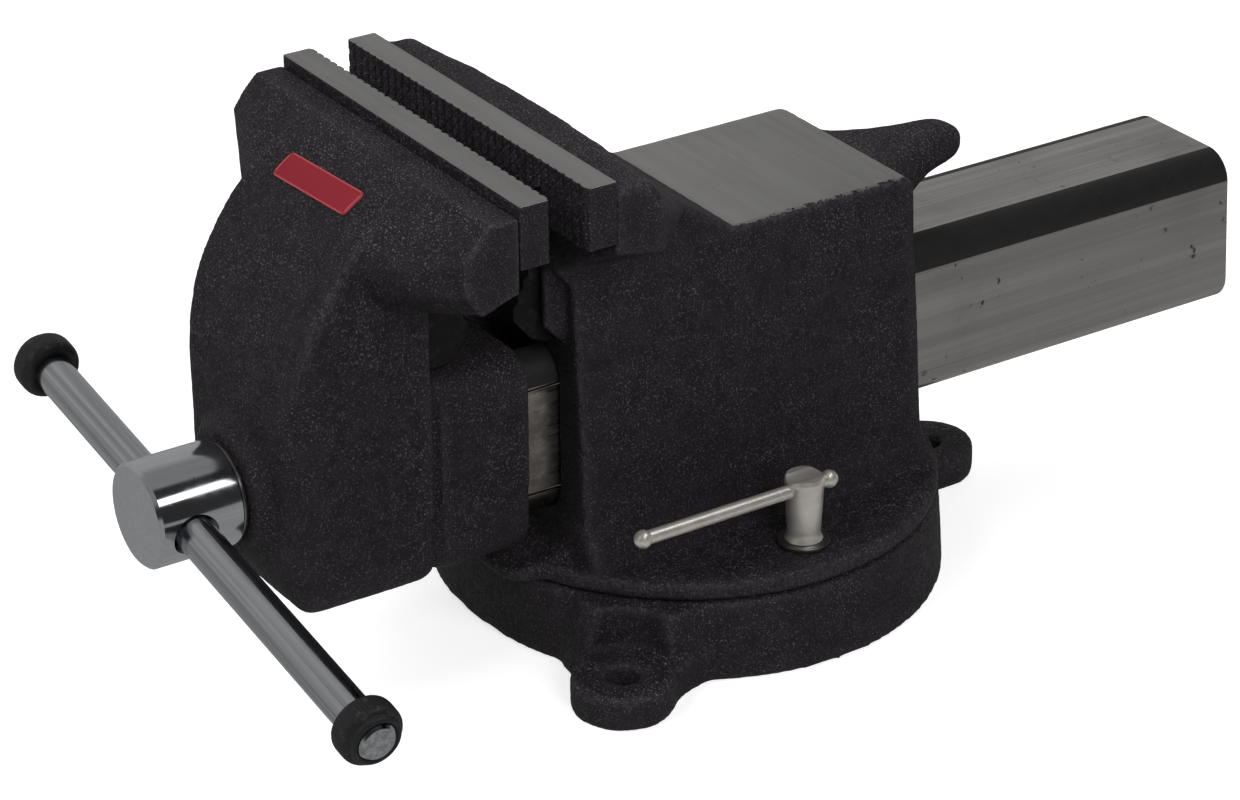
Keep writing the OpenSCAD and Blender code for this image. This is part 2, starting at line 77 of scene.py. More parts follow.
# ------------------------------------------------------------ node helpers
class Tree:
    """Small builder for shader node trees."""

    def __init__(self, name):
        self.mat = bpy.data.materials.new(name)
        self.mat.use_nodes = True
        self.nt = self.mat.node_tree
        self.nt.nodes.clear()
        self.out = self.nt.nodes.new("ShaderNodeOutputMaterial")
        self.pos = self.node("ShaderNodeTexCoord").outputs["Object"]

    def node(self, kind, **props):
        n = self.nt.nodes.new(kind)
        for k, v in props.items():
            setattr(n, k, v)
        return n

    def put(self, socket, value):
        if isinstance(value, bpy.types.NodeSocket):
            self.nt.links.new(value, socket)
        elif isinstance(value, (tuple, list)) and len(value) == 3 and len(socket.default_value) == 4:
            socket.default_value = (*value, 1)
        else:
            socket.default_value = value

    def scaled(self, sx, sy, sz, tilt=0.0):
        vector = self.pos
        if tilt:
            turn = self.node("ShaderNodeMapping")
            self.put(turn.inputs["Vector"], vector)
            turn.inputs["Rotation"].default_value = (0, math.radians(tilt), 0)
            vector = turn.outputs[0]
        n = self.node("ShaderNodeMapping")
        self.put(n.inputs["Vector"], vector)
        n.inputs["Scale"].default_value = (sx, sy, sz)
        return n.outputs[0]

    def noise(self, scale, detail=2.0, rough=0.5, vector=None, distortion=0.0):
        n = self.node("ShaderNodeTexNoise")
        self.put(n.inputs["Vector"], vector or self.pos)
        n.inputs["Scale"].default_value = scale
        n.inputs["Detail"].default_value = detail
        n.inputs["Roughness"].default_value = rough
        n.inputs["Distortion"].default_value = distortion
        return n.outputs["Fac"]

    def voronoi(self, scale, vector=None, feature="F1"):
        n = self.node("ShaderNodeTexVoronoi", feature=feature)
        self.put(n.inputs["Vector"], vector or self.pos)
        n.inputs["Scale"].default_value = scale
        return n.outputs["Distance"]

    def ramp(self, value, lo, hi, a=0.0, b=1.0):
        n = self.node("ShaderNodeMapRange", interpolation_type="SMOOTHSTEP")
        self.put(n.inputs["Value"], value)
        n.inputs["From Min"].default_value = lo
        n.inputs["From Max"].default_value = hi
        n.inputs["To Min"].default_value = a
        n.inputs["To Max"].default_value = b
        return n.outputs[0]

    def math(self, op, a, b=0.0):
        n = self.node("ShaderNodeMath", operation=op)
        self.put(n.inputs[0], a)
        self.put(n.inputs[1], b)
        return n.outputs[0]

    def mix(self, fac, a, b):
        n = self.node("ShaderNodeMix", data_type="RGBA")
        self.put(n.inputs["Factor"], fac)
        self.put(n.inputs["A"], a)
        self.put(n.inputs["B"], b)
        return n.outputs["Result"]

    def bump(self, height, strength, distance, normal=None):
        n = self.node("ShaderNodeBump")
        n.inputs["Strength"].default_value = strength
        n.inputs["Distance"].default_value = distance
        self.put(n.inputs["Height"], height)
        if normal is not None:
            self.put(n.inputs["Normal"], normal)
        return n.outputs[0]

    def attribute(self, name):
        return self.node("ShaderNodeAttribute", attribute_name=name).outputs["Fac"]

    def split(self, vector):
        n = self.node("ShaderNodeSeparateXYZ")
        self.put(n.inputs[0], vector)
        return n.outputs

    def normal(self):
        n = self.node("ShaderNodeNewGeometry")
        t = self.node("ShaderNodeVectorTransform", vector_type="NORMAL", convert_from="WORLD", convert_to="OBJECT")
        self.put(t.inputs[0], n.outputs["Normal"])
        return t.outputs[0]

    def shader(self, **sockets):
        n = self.node("ShaderNodeBsdfPrincipled")
        for k, v in sockets.items():
            self.put(n.inputs[k.replace("_", " ")], v)
        return n.outputs[0]

    def mix_shader(self, fac, a, b):
        n = self.node("ShaderNodeMixShader")
        self.put(n.inputs[0], fac)
        self.put(n.inputs[1], a)
        self.put(n.inputs[2], b)
        return n.outputs[0]

    def done(self, surface):
        self.put(self.out.inputs["Surface"], surface)
        return self.mat


# --------------------------------------------------------------- materials
def paint_shader(t):
    """Sand-textured near-black paint over a rough casting."""
    grain = t.noise(1150, 1.5, 0.6)
    pits = t.noise(430, 2.0, 0.6)
    patch = t.noise(38, 3.0, 0.55)
    lumps = t.noise(120, 2.0, 0.5)
    x, y, up = t.split(t.normal())
    # speckles lighter on upward faces: painted light on the tops
    painted_top_light = t.ramp(up, 0.55, 0.95)
    spark = t.ramp(grain, 0.54, 0.74)
    thick = t.ramp(patch, 0.3, 0.7, 0.45, 1.0)
    dots = t.math("MULTIPLY", spark, thick)
    base = t.mix(t.ramp(lumps, 0.3, 0.7), (0.0098, 0.0082, 0.0100), (0.0142, 0.0120, 0.0143))
    base = t.mix(dots, base, t.mix(painted_top_light, (0.088, 0.079, 0.086), (0.13, 0.122, 0.126)))
    # convex edges lighter: partly paint wear, partly a painted edge highlight
    wear_and_edge_highlight = t.math("MULTIPLY", t.attribute("edge"), t.ramp(pits, 0.35, 0.7, 0.15, 1.0))
    base = t.mix(wear_and_edge_highlight, base, (0.070, 0.066, 0.070))
    rough = t.ramp(pits, 0.25, 0.75, 0.52, 0.74)
    height = t.math("ADD", t.math("MULTIPLY", grain, 0.75), t.math("MULTIPLY", pits, 0.8))
    n = t.bump(lumps, 0.35, 0.0012)
    n = t.bump(height, 0.75, 0.0009, n)
    return t.shader(Base_Color=base, Roughness=rough, Specular_IOR_Level=0.22, Normal=n)


def ground_shader(t, tone, along="Y", rough=0.34, stains_and_shade=True, streak=1.0):
    """Ground steel with fine lay lines, faint stains and a few scratches, optionally with painted shade on the bar
    length between the jaws.
    """
    stretch = {"Y": (900, 14, 900), "X": (14, 900, 900)}[along]
    lay = t.noise(1.0, 2.0, 0.6, t.scaled(*stretch))
    wide = t.noise(1.0, 3.0, 0.55, t.scaled(*[v * 0.14 for v in stretch]))
    cloud = t.noise(16, 4.0, 0.6)
    speck = t.noise(360, 2.0, 0.5)
    colour = t.mix(t.ramp(wide, 0.25, 0.75), [c * (1 - 0.20 * streak) for c in tone], [c * (1 + 0.12 * streak) for c in tone])
    colour = t.mix(t.ramp(cloud, 0.52, 0.80, 0.0, 0.5 * streak), colour, [c * 0.66 for c in tone])
    if stains_and_shade:
        spots = t.math("MULTIPLY", t.ramp(t.noise(150, 2.0, 0.6), 0.66, 0.73), t.ramp(cloud, 0.45, 0.62))
        colour = t.mix(spots, colour, (0.045, 0.038, 0.032))
    r = t.math("ADD", t.ramp(lay, 0.2, 0.8, rough - 0.07, rough + 0.08), t.ramp(cloud, 0.4, 0.8, 0.0, 0.09))
    n = t.bump(lay, 0.10, 0.00012)
    n = t.bump(speck, 0.05, 0.0002, n)
    if stains_and_shade:
        # painted shade on the bar length between the jaws, with a brownish grime tint where the bar is never wiped
        x, y, z = t.split(t.pos)
        shade_between_jaws = t.math("ADD", t.ramp(y, -0.100, -0.086, 1.0, 0.0), t.ramp(cloud, 0.3, 0.7, -0.25, 0.25))
        blot = t.ramp(t.noise(95, 4.0, 0.65), 0.38, 0.62)
        grime_and_shade = t.mix(blot, (0.42, 0.39, 0.36), (0.25, 0.225, 0.205))
        colour = t.mix(t.ramp(shade_between_jaws, 0.35, 0.75), colour, grime_and_shade)
    return t.shader(Base_Color=colour, Metallic=1.0, Roughness=r, Normal=n)


def casting_material(name, bare=True):
    t = Tree(name)
    paint = paint_shader(t)
    if not bare:
        return t.done(paint)
    steel = ground_shader(t, (0.52, 0.515, 0.505), "X", 0.42, stains_and_shade=False, streak=0.25)
    ragged = t.math("ADD", t.attribute("bare"), t.ramp(t.noise(240, 3.0, 0.6), 0.3, 0.7, -0.25, 0.25))
    x, y, z = t.split(t.pos)
    chips = t.math("MULTIPLY", t.ramp(x, 0.0445, 0.0495), t.ramp(t.noise(190, 3.0, 0.7), 0.50, 0.60))
    ragged = t.math("SUBTRACT", ragged, chips)
    return t.done(t.mix_shader(t.ramp(ragged, 0.44, 0.56), paint, steel))


def insert_material():
    """Ground tops, black gripping faces and ends."""
    t = Tree("insert_ground_steel")
    paint = paint_shader(t)
    steel = ground_shader(t, (0.46, 0.455, 0.45), "X", 0.40, stains_and_shade=False, streak=0.4)
    return t.done(t.mix_shader(t.ramp(t.attribute("bare"), 0.4, 0.6), paint, steel))


def bar_material():
    t = Tree("bar_drawn_steel")
    skin = ground_shader(t, (0.50, 0.485, 0.465), "Y", 0.27)
    x, y, z = t.split(t.pos)
    inner = t.shader(Base_Color=t.mix(t.noise(90, 3.0), (0.06, 0.055, 0.05), (0.13, 0.12, 0.11)), Metallic=1.0,
                     Roughness=0.62, Normal=t.bump(t.noise(500, 2.0), 0.3, 0.0004))
    # the upper corner radii are painted near-black, partly dark mill scale and partly a painted reflection of the dark
    # room above; the flats are ground
    scale = t.math("MULTIPLY", t.ramp(t.math("ABSOLUTE", x), 0.0222, 0.0227), t.ramp(z, 0.1297, 0.1302))
    scale = t.math("MULTIPLY", scale, t.ramp(t.noise(300, 3.0, 0.6), 0.22, 0.30))
    dark = t.shader(Base_Color=t.mix(t.noise(160, 3.0), (0.011, 0.0105, 0.0105), (0.018, 0.0172, 0.017)), Roughness=0.5,
                    Specular_IOR_Level=0.25, Normal=t.bump(t.noise(700, 2.0), 0.2, 0.0003))
    skin = t.mix_shader(scale, skin, dark)
    return t.done(t.mix_shader(t.ramp(t.attribute("inside"), 0.4, 0.6), skin, inner))


def chrome_material(name, along, rough=0.10, tone=(0.695, 0.715, 0.745), streak=0.10, tilt=0.0):
    """Bright plating over turned steel: fine lines, faint pits and smears; a high streak turns the lines into painted
    reflection bands.
    """
    t = Tree(name)
    s = {"X": (3, 420, 420), "Y": (700, 9, 700)}[along]
    lines = t.noise(1.0, 2.0, 0.6, t.scaled(*s, tilt=tilt))
    smear = t.noise(45, 4.0, 0.6)
    pits = t.ramp(t.noise(520, 2.0, 0.5), 0.75, 0.83)
    colour = t.mix(t.ramp(lines, 0.25, 0.75), [c * (1 - streak) for c in tone], tone)
    colour = t.mix(pits, colour, (0.28, 0.27, 0.27))
    r = t.math("ADD", t.ramp(smear, 0.35, 0.8, rough, rough + 0.14), t.math("MULTIPLY", pits, 0.2))
    n = t.bump(lines, 0.10, 0.0001)
    return t.done(t.shader(Base_Color=colour, Metallic=1.0, Roughness=r, Normal=n))


def nickel_material():
    t = Tree("lock_nickel_plate")
    fine = t.noise(700, 2.0, 0.6)
    smear = t.noise(110, 3.0, 0.6)
    colour = t.mix(t.ramp(smear, 0.3, 0.75), (0.74, 0.70, 0.635), (0.86, 0.825, 0.765))
    r = t.math("ADD", t.ramp(smear, 0.3, 0.8, 0.28, 0.38), t.ramp(fine, 0.4, 0.8, 0.0, 0.06))
    return t.done(t.shader(Base_Color=colour, Metallic=0.78, Roughness=r, Normal=t.bump(fine, 0.03, 0.0001)))


def dark_steel_material(name, tone=(0.035, 0.034, 0.036), rough=0.45):
    """Black oxide on machined steel, rubbed brighter in patches."""
    t = Tree(name)
    rub = t.ramp(t.noise(210, 3.0, 0.6), 0.50, 0.78)
    fine = t.noise(900, 2.0, 0.5)
    colour = t.mix(rub, tone, [c * 2.4 for c in tone])
    return t.done(t.shader(Base_Color=colour, Metallic=0.75, Roughness=t.ramp(fine, 0.3, 0.7, rough - 0.08, rough + 0.1),
                           Normal=t.bump(fine, 0.2, 0.0003)))


def machined_material(name, tone=(0.42, 0.41, 0.40), rough=0.33):
    t = Tree(name)
    rings = t.noise(260, 3.0, 0.55)
    stain = t.noise(60, 3.0, 0.6)
    colour = t.mix(t.ramp(stain, 0.4, 0.8), tone, [c * 0.62 for c in tone])
    return t.done(t.shader(Base_Color=colour, Metallic=1.0, Roughness=t.ramp(rings, 0.3, 0.7, rough - 0.07, rough + 0.1),
                           Normal=t.bump(rings, 0.12, 0.0002)))


def cast_iron_material(name):
    t = Tree(name)
    grit = t.noise(700, 3.0, 0.6)
    patch = t.noise(70, 3.0, 0.6)
    colour = t.mix(t.ramp(patch, 0.3, 0.75), (0.10, 0.097, 0.093), (0.20, 0.195, 0.185))
    return t.done(t.shader(Base_Color=colour, Metallic=0.85, Roughness=t.ramp(grit, 0.3, 0.7, 0.5, 0.7),
                           Normal=t.bump(grit, 0.45, 0.0004)))


def rubber_material():
    t = Tree("cap_black_rubber")
    dust = t.noise(300, 4.0, 0.65)
    fine = t.noise(1500, 2.0, 0.5)
    colour = t.mix(t.ramp(dust, 0.5, 0.8), (0.0105, 0.010, 0.0105), (0.035, 0.034, 0.034))
    return t.done(t.shader(Base_Color=colour, Roughness=t.ramp(dust, 0.3, 0.8, 0.38, 0.6), Specular_IOR_Level=0.35,
                           Normal=t.bump(fine, 0.15, 0.0002)))


def label_material():
    """Plain gloss plate in dark red, with a paler printed rim and no lettering."""
    t = Tree("label_plain_red")
    fade = t.noise(14, 1.0, 0.5)
    colour = t.mix(t.ramp(fade, 0.3, 0.7), (0.185, 0.010, 0.018), (0.205, 0.012, 0.021))
    colour = t.mix(t.attribute("rim"), colour, (0.34, 0.055, 0.065))
    return t.done(t.shader(Base_Color=colour, Roughness=t.ramp(fade, 0.3, 0.7, 0.40, 0.44), Coat_Weight=0.0,
                           Coat_Roughness=0.2, Specular_IOR_Level=0.22))


# ------------------------------------------------------------ mesh helpers
def solid_copy(node, voxel):
    """Even quad mesh over a CAD node's solid, as coordinates and edges in metres."""
    source = NODES[node]
    ob = bpy.data.objects.new("work", source.data.copy())
    scene.collection.objects.link(ob)
    m = ob.modifiers.new("remesh", "REMESH")
    m.mode = "VOXEL"
    m.voxel_size = voxel * MM
    m.adaptivity = 0.0
    dg = bpy.context.evaluated_depsgraph_get()
    mesh = bpy.data.meshes.new_from_object(ob.evaluated_get(dg))
    bpy.data.objects.remove(ob)
    return mesh


def coords(mesh):
    co = np.empty(len(mesh.vertices) * 3)
    mesh.vertices.foreach_get("co", co)
    return co.reshape(-1, 3)


def set_coords(mesh, co):
    mesh.vertices.foreach_set("co", co.astype(np.float32).ravel())
    mesh.update()


def normals(mesh):
    n = np.empty(len(mesh.vertices) * 3)
    mesh.vertices.foreach_get("normal", n)
    return n.reshape(-1, 3)


def neighbours(mesh):
    e = np.empty(len(mesh.edges) * 2, np.int64)
    mesh.edges.foreach_get("vertices", e)
    e = e.reshape(-1, 2)
    a = np.concatenate([e[:, 0], e[:, 1]])
    b = np.concatenate([e[:, 1], e[:, 0]])
    return a, b, np.bincount(a, minlength=len(mesh.vertices)).clip(1)


def average(v, nb):
    a, b, count = nb
    if v.ndim == 1:
        return np.bincount(a, v[b], minlength=len(v)) / count
    return np.stack([np.bincount(a, v[b, k], minlength=len(v)) / count for k in range(v.shape[1])], 1)


def smooth(co, nb, weight, steps):
    """Laplacian smoothing where weight is 0 to 1; a point's rounding grows with it."""
    for k in range(steps):
        w = np.clip(weight * steps - k, 0, 1) * 0.55
        co = co + (average(co, nb) - co) * w[:, None]
    return co


def rough_field(co, scale, seed):
    off = Vector((seed * 7.3, seed * 3.1, seed * 5.7))
    return np.array([noise.noise(Vector(p) * scale + off) for p in co])


def edge_mask(co, mesh, nb, gain):
    """Convex edges, 0 to 1."""
    lap = average(co, nb) - co
    c = -(lap * normals(mesh)).sum(1)
    for _ in range(2):
        c = 0.5 * c + 0.5 * average(c, nb)
    return np.clip(c * gain, 0, 1)


def attribute(mesh, name, values):
    at = mesh.attributes.get(name) or mesh.attributes.new(name, "FLOAT", "POINT")
    at.data.foreach_set("value", np.asarray(values, np.float32))


def piece(name, mesh, material, body, slot, *nodes):
    ob = bpy.data.objects.new(name, mesh)
    scene.collection.objects.link(ob)
    mesh.materials.clear()
    mesh.materials.append(material)
    mesh.polygons.foreach_set("use_smooth", np.ones(len(mesh.polygons), bool))
    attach(ob, body)
    if nodes:
        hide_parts(*nodes)
    return ob


def step(v, lo, hi):
    t = np.clip((v - lo) / (hi - lo), 0, 1)
    return t * t * (3 - 2 * t)


# ---------------------------------------------------------------- castings
def casting(node, name, body, slot, voxel, steps, weight_of, bare_of, seed):
    """A CAD casting with its edges rounded, its corners filleted and a rough skin."""
    mesh = solid_copy(node, voxel)
    nb = neighbours(mesh)
    co0 = coords(mesh)
    p = co0 / MM
    w = weight_of(p)
    for _ in range(4):
        w = 0.5 * w + 0.5 * average(w, nb)
    co = smooth(co0, nb, w, steps)
    set_coords(mesh, co)
    n = normals(mesh)
    bare = bare_of(co / MM, n)
    skin = np.clip(w * 4, 0, 1) * (1 - np.clip(bare, 0, 1))
    skin *= step(co[:, 2] / MM, 2.5, 6.0) if body == "base" else 1.0
    if body == "moving":                                             # flat under the label
        q = co / MM
        skin *= 1 - ((np.abs(q[:, 0] + 2.6) < 32) & (q[:, 1] < -180) & (q[:, 2] > 217) & (q[:, 2] < 243))
    bumps = 0.16 * rough_field(co, 170, seed) + 0.12 * rough_field(co, 420, seed + 1) + 0.22 * rough_field(co, 48, seed + 2)
    set_coords(mesh, co + n * (bumps * skin * MM)[:, None])
    # edge: convex edges, lightened in the paint as wear and a painted edge highlight
    attribute(mesh, "edge", edge_mask(co, mesh, nb, 2600 * 1.4 / voxel) * (1 - np.clip(bare, 0, 1)))
    attribute(mesh, "bare", bare)
    ob = piece(name, mesh, casting_material(slot + "_look"), body, slot, node)
    return ob


def static_weight(p):
    x, y, z = np.abs(p[:, 0]), p[:, 1], p[:, 2]
    w = np.full(len(p), 0.28)
    w = np.where(z > 190, 0.36, w)                                   # jaw head and slope
    w = np.where((z > 196) & (x > 56), 0.55, w)                      # its two ends
    w = np.where((z > 150) & (y > 84), 0.5, w)                       # horn
    w = np.where((z < 66) & (z > 46), 0.34, w)                       # body meets foot
    w = np.where((np.abs(z - 188) < 2.2) & (y > -20) & (y < 96), 0.10, w)   # anvil edge
    w = np.where((x < 37.5) & (z > 61.5) & (z < 145) & (y < 104), 0.03, w)  # bar passage
    w = np.where((y < -96) & (z > 216), 0.05, w)                     # insert seat
    w = np.where(z < 47, 0.12, w)                                    # foot rim
    return w


def static_bare(p, n):
    x, y, z = p[:, 0], p[:, 1], p[:, 2]
    flat = step(z, 187.0, 187.6) * (1 - step(z, 188.3, 188.8)) * step(n[:, 2], 0.80, 0.93)
    top = flat * step(y, -10.5, -8.0)
    bore = (np.abs(x) < 37.2) & (z > 61) & (z < 144.5) & (y > -92) & (y < 95)
    return np.maximum(top, bore * 0.0)


def moving_weight(p):
    x, y, z = np.abs(p[:, 0]), p[:, 1], p[:, 2]
    w = np.full(len(p), 0.26)
    w = np.where((z > 180), 0.20, w)
    w = np.where(z < 88, 0.62, w)                                    # round lower edge of the column
    w = np.where((y > -180) & (z > 235), 0.09, w)                    # ridge along the top
    w = np.where((y > -159) & (z > 212), 0.05, w)
    w = np.where((x < 36.6) & (z > 61.5) & (z < 144) & (y > -203.5), 0.03, w)
    r = np.hypot(p[:, 0], z - 103.4)
    w = np.where((r < 20) & (y < -205), 0.05, w)
    return w


def base_weight(p):
    x, y, z = p[:, 0], p[:, 1], p[:, 2]
    r = np.hypot(x, y)
    w = np.full(len(p), 0.26)
    w = np.where(r < 112, 0.06, w)
    w = np.where((z > 34) & (r < 119.5), 0.16, w)
    w = np.where((z < 3.0) & (r > 112), 0.34, w)
    return w


none = lambda p, n: np.zeros(len(p))
casting("swivel_base", "base_casting", "base", "base_casting", 1.5, 22, base_weight, none, 3)
casting("static_body", "body_casting", "static", "static_casting", 1.5, 26, static_weight, static_bare, 11)
casting("moving_jaw", "jaw_casting", "moving", "jaw_casting", 1.4, 26, moving_weight, none, 23)


# ----------------------------------------------------------------- inserts
def toothed_insert(node, name, body, side):
    """Jaw insert with rounded arrises; diagonal cuts turn its teeth into diamonds.
    side is +1 where the gripping face looks to -Y."""
    mesh = solid_copy(node, 0.55)
    nb = neighbours(mesh)
    co0 = coords(mesh)
    co = smooth(co0, nb, np.full(len(co0), 1.0), 2)
    lo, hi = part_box(node)
    face = lo.y if side > 0 else hi.y
    depth = (co[:, 1] - face) * side / MM
    p = co / MM
    inside = step(hi.z / MM - p[:, 2], 0.9, 2.0) * step(p[:, 2] - lo.z / MM, 0.9, 2.0)
    near = 1 - step(depth, 0.9, 2.2)
    cut = np.zeros(len(p))
    for s in (1, -1):
        u = (p[:, 2] + s * p[:, 0]) / math.sqrt(2)
        phase = np.abs(((u / 4.24) % 1.0) - 0.5) * 4.24
        cut = np.maximum(cut, np.clip(0.55 - phase, 0, 0.55))
    co[:, 1] += side * cut * inside * near * MM
    set_coords(mesh, co)
    n = normals(mesh)
    top = step(n[:, 2], 0.6, 0.9) * step(p[:, 2], hi.z / MM - 0.7, hi.z / MM - 0.4)
    attribute(mesh, "bare", top)
    # edge: convex edges, lightened in the paint as wear and a painted edge highlight
    attribute(mesh, "edge", edge_mask(co, mesh, nb, 5200) * (1 - top) * 0.5)
    return mesh


steel_insert = insert_material()
piece("front_insert_ground", toothed_insert("front_insert", "f", "moving", -1), steel_insert, "moving", "insert_steel", "front_insert")
piece("rear_insert_ground", toothed_insert("rear_insert", "r", "static", 1), steel_insert, "static", "insert_steel", "rear_insert")


# --------------------------------------------------------------- slide bar
def refine(node, width=0.4, segments=2, angle=35):
    """Rounds a CAD node's arrises in place with modifiers."""
    ob = NODES[node]
    weld = ob.modifiers.new("weld", "WELD")
    weld.merge_threshold = 0.00002
    if width:
        b = ob.modifiers.new("arris", "BEVEL")
        b.width = width * MM
        b.segments = segments
        b.limit_method = "ANGLE"
        b.angle_limit = math.radians(angle)
        b.use_clamp_overlap = True
        b.harden_normals = False
    return ob


def look(material, *nodes):
    for n in nodes:
        ob = NODES[n]
        ob.data.materials.clear()
        ob.data.materials.append(material)
        ob.data.polygons.foreach_set("use_smooth", np.ones(len(ob.data.polygons), bool))
        ob.data.set_sharp_from_angle(angle=math.radians(32))


def bar_attributes():
    ob = NODES["slide_bar"]
    p = coords(ob.data) / MM
    inside = ((np.abs(p[:, 0]) < 30) & (p[:, 2] > 66) & (p[:, 2] < 138)).astype(float)
    attribute(ob.data, "inside", inside)


bar_attributes()
look(bar_material(), "slide_bar")
refine("slide_bar", 0.5)

# ---------------------------------------------------------- turned pieces
head_look = chrome_material("spindle_plate", "Y", 0.085)
look(head_look, "spindle")
# rod lines at streak 0.45 give strong light and dark bands along the rod: polishing lines and painted reflection bands
look(chrome_material("rod_plate", "X", 0.13, streak=0.45, tilt=-9.06), "handle_rod")
look(machined_material("lock_washer_steel", (0.40, 0.385, 0.36), 0.36), "lock_washers")
look(nickel_material(), "lock_nut_right", "lock_nut_left", "lock_bar_right", "lock_bar_left",
     "lock_balls_right", "lock_balls_left")
look(machined_material("lock_bolt_zinc", (0.55, 0.55, 0.56), 0.3), "lock_bolts")
look(dark_steel_material("screw_black_oxide"), "rear_insert_screws", "front_insert_screws", "rear_pipe_jaw_screws",
     "front_pipe_jaw_screws", "nut_bolts")
look(dark_steel_material("pipe_jaw_black", (0.016, 0.0155, 0.0165), 0.5), "rear_pipe_jaw", "front_pipe_jaw")
look(cast_iron_material("nut_iron_look"), "spindle_nut")
look(machined_material("pin_machined"), "pivot_pin", "bar_pins", "collar_pin", "retaining_collar", "thrust_washer")
for n in ("lock_washers", "thrust_washer", "spindle_nut", "retaining_collar"):
    refine(n, 0.3)
for n in ("rear_pipe_jaw", "front_pipe_jaw"):
    refine(n, 0.35)
for n in ("lock_nut_right", "lock_nut_left"):
    refine(n, 0.35, 3)


# ------------------------------------------------------------- handle caps
def ribbed_cap(inner, outward):
    """Black cap: a ribbed ring with a smaller rim round the rod's end.
    inner is the middle of its inboard face, outward the rod's direction."""
    profile = [(8.72, 0.0), (11.6, 0.0), (12.7, 0.25), (13.7, 1.1), (14.2, 2.1), (14.4, 3.2), (14.45, 5.0), (14.45, 7.5),
               (14.4, 9.4), (14.15, 10.5), (13.6, 11.4), (12.7, 12.0), (12.0, 12.2), (11.75, 12.5), (11.7, 13.2),
               (11.5, 14.2), (11.0, 14.8), (10.3, 15.0), (9.6, 14.9), (9.1, 14.5), (8.74, 13.9), (8.72, 12.0), (8.72, 6.0)]
    ribs, per = 56, 6
    count = ribs * per
    axis = Vector(outward).normalized()
    side = axis.cross(Vector((0, 1, 0))).normalized()
    up = axis.cross(side)
    bm = bmesh.new()
    rings = []
    for r, s in profile:
        ring = []
        for k in range(count):
            a = 2 * math.pi * k / count
            groove = 0.0
            if r > 13.9 and 1.9 < s < 10.8:
                groove = 0.32 * max(0.0, math.cos(ribs * a)) ** 2
            q = (r - groove) * MM
            ring.append(bm.verts.new(Vector(inner) + axis * (s * MM) + side * (q * math.cos(a)) + up * (q * math.sin(a))))
        rings.append(ring)
    for i in range(len(rings)):
        a, b = rings[i], rings[(i + 1) % len(rings)]
        for k in range(count):
            bm.faces.new((a[k], a[(k + 1) % count], b[(k + 1) % count], b[k]))
    bmesh.ops.recalc_face_normals(bm, faces=bm.faces)
    mesh = bpy.data.meshes.new("cap")
    bm.to_mesh(mesh)
    bm.free()
    return mesh


tilt = math.radians(9.06)
along = Vector((math.cos(tilt), 0, -math.sin(tilt)))
pivot = Vector((0, -0.2673, 0.1034))
cap_look = rubber_material()
piece("cap_right_ribbed", ribbed_cap(pivot + along * 0.1625, along), cap_look, "handle", "cap_rubber", "handle_cap_right")
piece("cap_left_ribbed", ribbed_cap(pivot - along * 0.1135, -along), cap_look, "handle", "cap_rubber", "handle_cap_left")


# ------------------------------------------------------------------- label
def label_piece():
    """Thin plate with rounded corners that follows the slope of the jaw."""
    slope = [(-176.5, 241.0), (-187.5, 234.0), (-197.0, 226.5), (-205.5, 217.5)]
    lengths = [0.0]
    for (y0, z0), (y1, z1) in zip(slope, slope[1:]):
        lengths.append(lengths[-1] + math.hypot(y1 - y0, z1 - z0))

    def at(s, lift):
        for k in range(len(slope) - 1):
            if s <= lengths[k + 1] or k == len(slope) - 2:
                t = (s - lengths[k]) / (lengths[k + 1] - lengths[k])
                (y0, z0), (y1, z1) = slope[k], slope[k + 1]
                dy, dz = y1 - y0, z1 - z0
                d = math.hypot(dy, dz)
                return y0 + dy * t + dz / d * lift, z0 + dz * t - dy / d * lift
    w, h, r, th = 58.0, 13.2, 2.4, 0.95
    cx, cs = -2.6, 12.9
    nu, nv = 96, 30
    bm = bmesh.new()
    rim_at = bm.verts.layers.float.new("rim")

    def grid(lift, inset):
        out = []
        for i in range(nu + 1):
            col = []
            for j in range(nv + 1):
                u = (i / nu - 0.5) * (w - 2 * inset)
                v = (j / nv - 0.5) * (h - 2 * inset)
                # pull the corners in to a radius
                qx, qy = abs(u) - ((w - 2 * inset) / 2 - r), abs(v) - ((h - 2 * inset) / 2 - r)
                if qx > 0 and qy > 0:
                    m = max(qx, qy)
                    d = math.hypot(qx, qy)
                    u = math.copysign(abs(u) - qx + qx * m / d, u)
                    v = math.copysign(abs(v) - qy + qy * m / d, v)
                y, z = at(cs + v - u * 0.047, lift)
                vert = bm.verts.new(((cx + u) * MM, y * MM, z * MM))
                edge = min(w / 2 - abs(u), h / 2 - abs(v))
                vert[rim_at] = 1.0 if 0.0 <= edge < 0.75 else 0.0
                col.append(vert)
            out.append(col)
        return out
    top, low = grid(th, 0.12), grid(-0.6, 0.0)
    for g, flip in ((top, False), (low, True)):
        for i in range(nu):
            for j in range(nv):
                f = (g[i][j], g[i + 1][j], g[i + 1][j + 1], g[i][j + 1])
                bm.faces.new(f[::-1] if flip else f)
    ring = [(i, 0) for i in range(nu)] + [(nu, j) for j in range(nv)] + [(i, nv) for i in range(nu, 0, -1)] + [(0, j) for j in range(nv, 0, -1)]
    for (a, b), (c, d) in zip(ring, ring[1:] + ring[:1]):
        bm.faces.new((top[a][b], low[a][b], low[c][d], top[c][d]))
    bmesh.ops.recalc_face_normals(bm, faces=bm.faces)
    mesh = bpy.data.meshes.new("label")
    bm.to_mesh(mesh)
    bm.free()
    return mesh


label = piece("label_plain", label_piece(), label_material(), "moving", "label_red", "label_plate")
label.data.set_sharp_from_angle(angle=math.radians(40))


